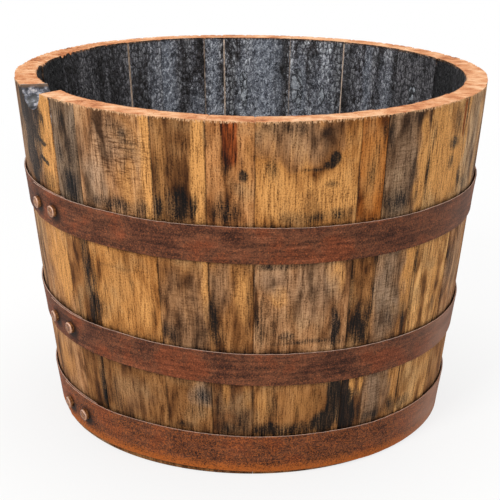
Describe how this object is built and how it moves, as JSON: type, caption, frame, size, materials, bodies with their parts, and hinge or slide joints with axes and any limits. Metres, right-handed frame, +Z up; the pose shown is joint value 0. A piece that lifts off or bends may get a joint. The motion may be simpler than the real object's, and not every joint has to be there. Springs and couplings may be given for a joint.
{
  "type": "half barrel tub",
  "caption": "Open tub made from half an oak barrel sawn across at the bilge, with charred staves, riveted steel hoops and a board head, standing on its stave ends.",
  "frame": {"origin": "on the ground, on the barrel's axis", "axes": "+Z up along the barrel's axis, -Y to the front as in the picture, bung hole on the left at -X"},
  "size_m": [0.61, 0.61, 0.45],
  "materials": {
    "stave_oak": "weathered oak, stained black by iron, charred inside, freshly sawn at the rim",
    "head_oak": "oak boards, charred on the upper face",
    "dowel_wood": "plain turned dowel",
    "hoop_steel": "red-brown rust, matte, worn bright at the edges",
    "rivet_steel": "rubbed, pinkish brown"
  },
  "bodies": {
    "root": {"stave_01": "stave_oak", "stave_02": "stave_oak", "stave_03": "stave_oak", "stave_04": "stave_oak", "stave_05": "stave_oak", "stave_06": "stave_oak", "stave_07": "stave_oak", "stave_08": "stave_oak", "stave_09": "stave_oak", "stave_10": "stave_oak", "stave_11": "stave_oak", "stave_12": "stave_oak", "stave_13": "stave_oak", "stave_14": "stave_oak", "stave_15": "stave_oak", "stave_16": "stave_oak", "stave_17": "stave_oak", "stave_18": "stave_oak", "stave_19": "stave_oak", "stave_20": "stave_oak", "stave_21": "stave_oak", "stave_22": "stave_oak", "stave_23": "stave_oak", "bung_stave": "stave_oak", "head_board_1": "head_oak", "head_board_2": "head_oak", "head_board_3": "head_oak", "head_board_4": "head_oak", "head_board_5": "head_oak", "head_board_6": "head_oak", "head_dowels": "dowel_wood", "bilge_hoop": "hoop_steel", "bilge_hoop_rivets": "rivet_steel", "quarter_hoop": "hoop_steel", "quarter_hoop_rivets": "rivet_steel", "head_hoop": "hoop_steel", "head_hoop_rivets": "rivet_steel"}
  },
  "joints": []
}
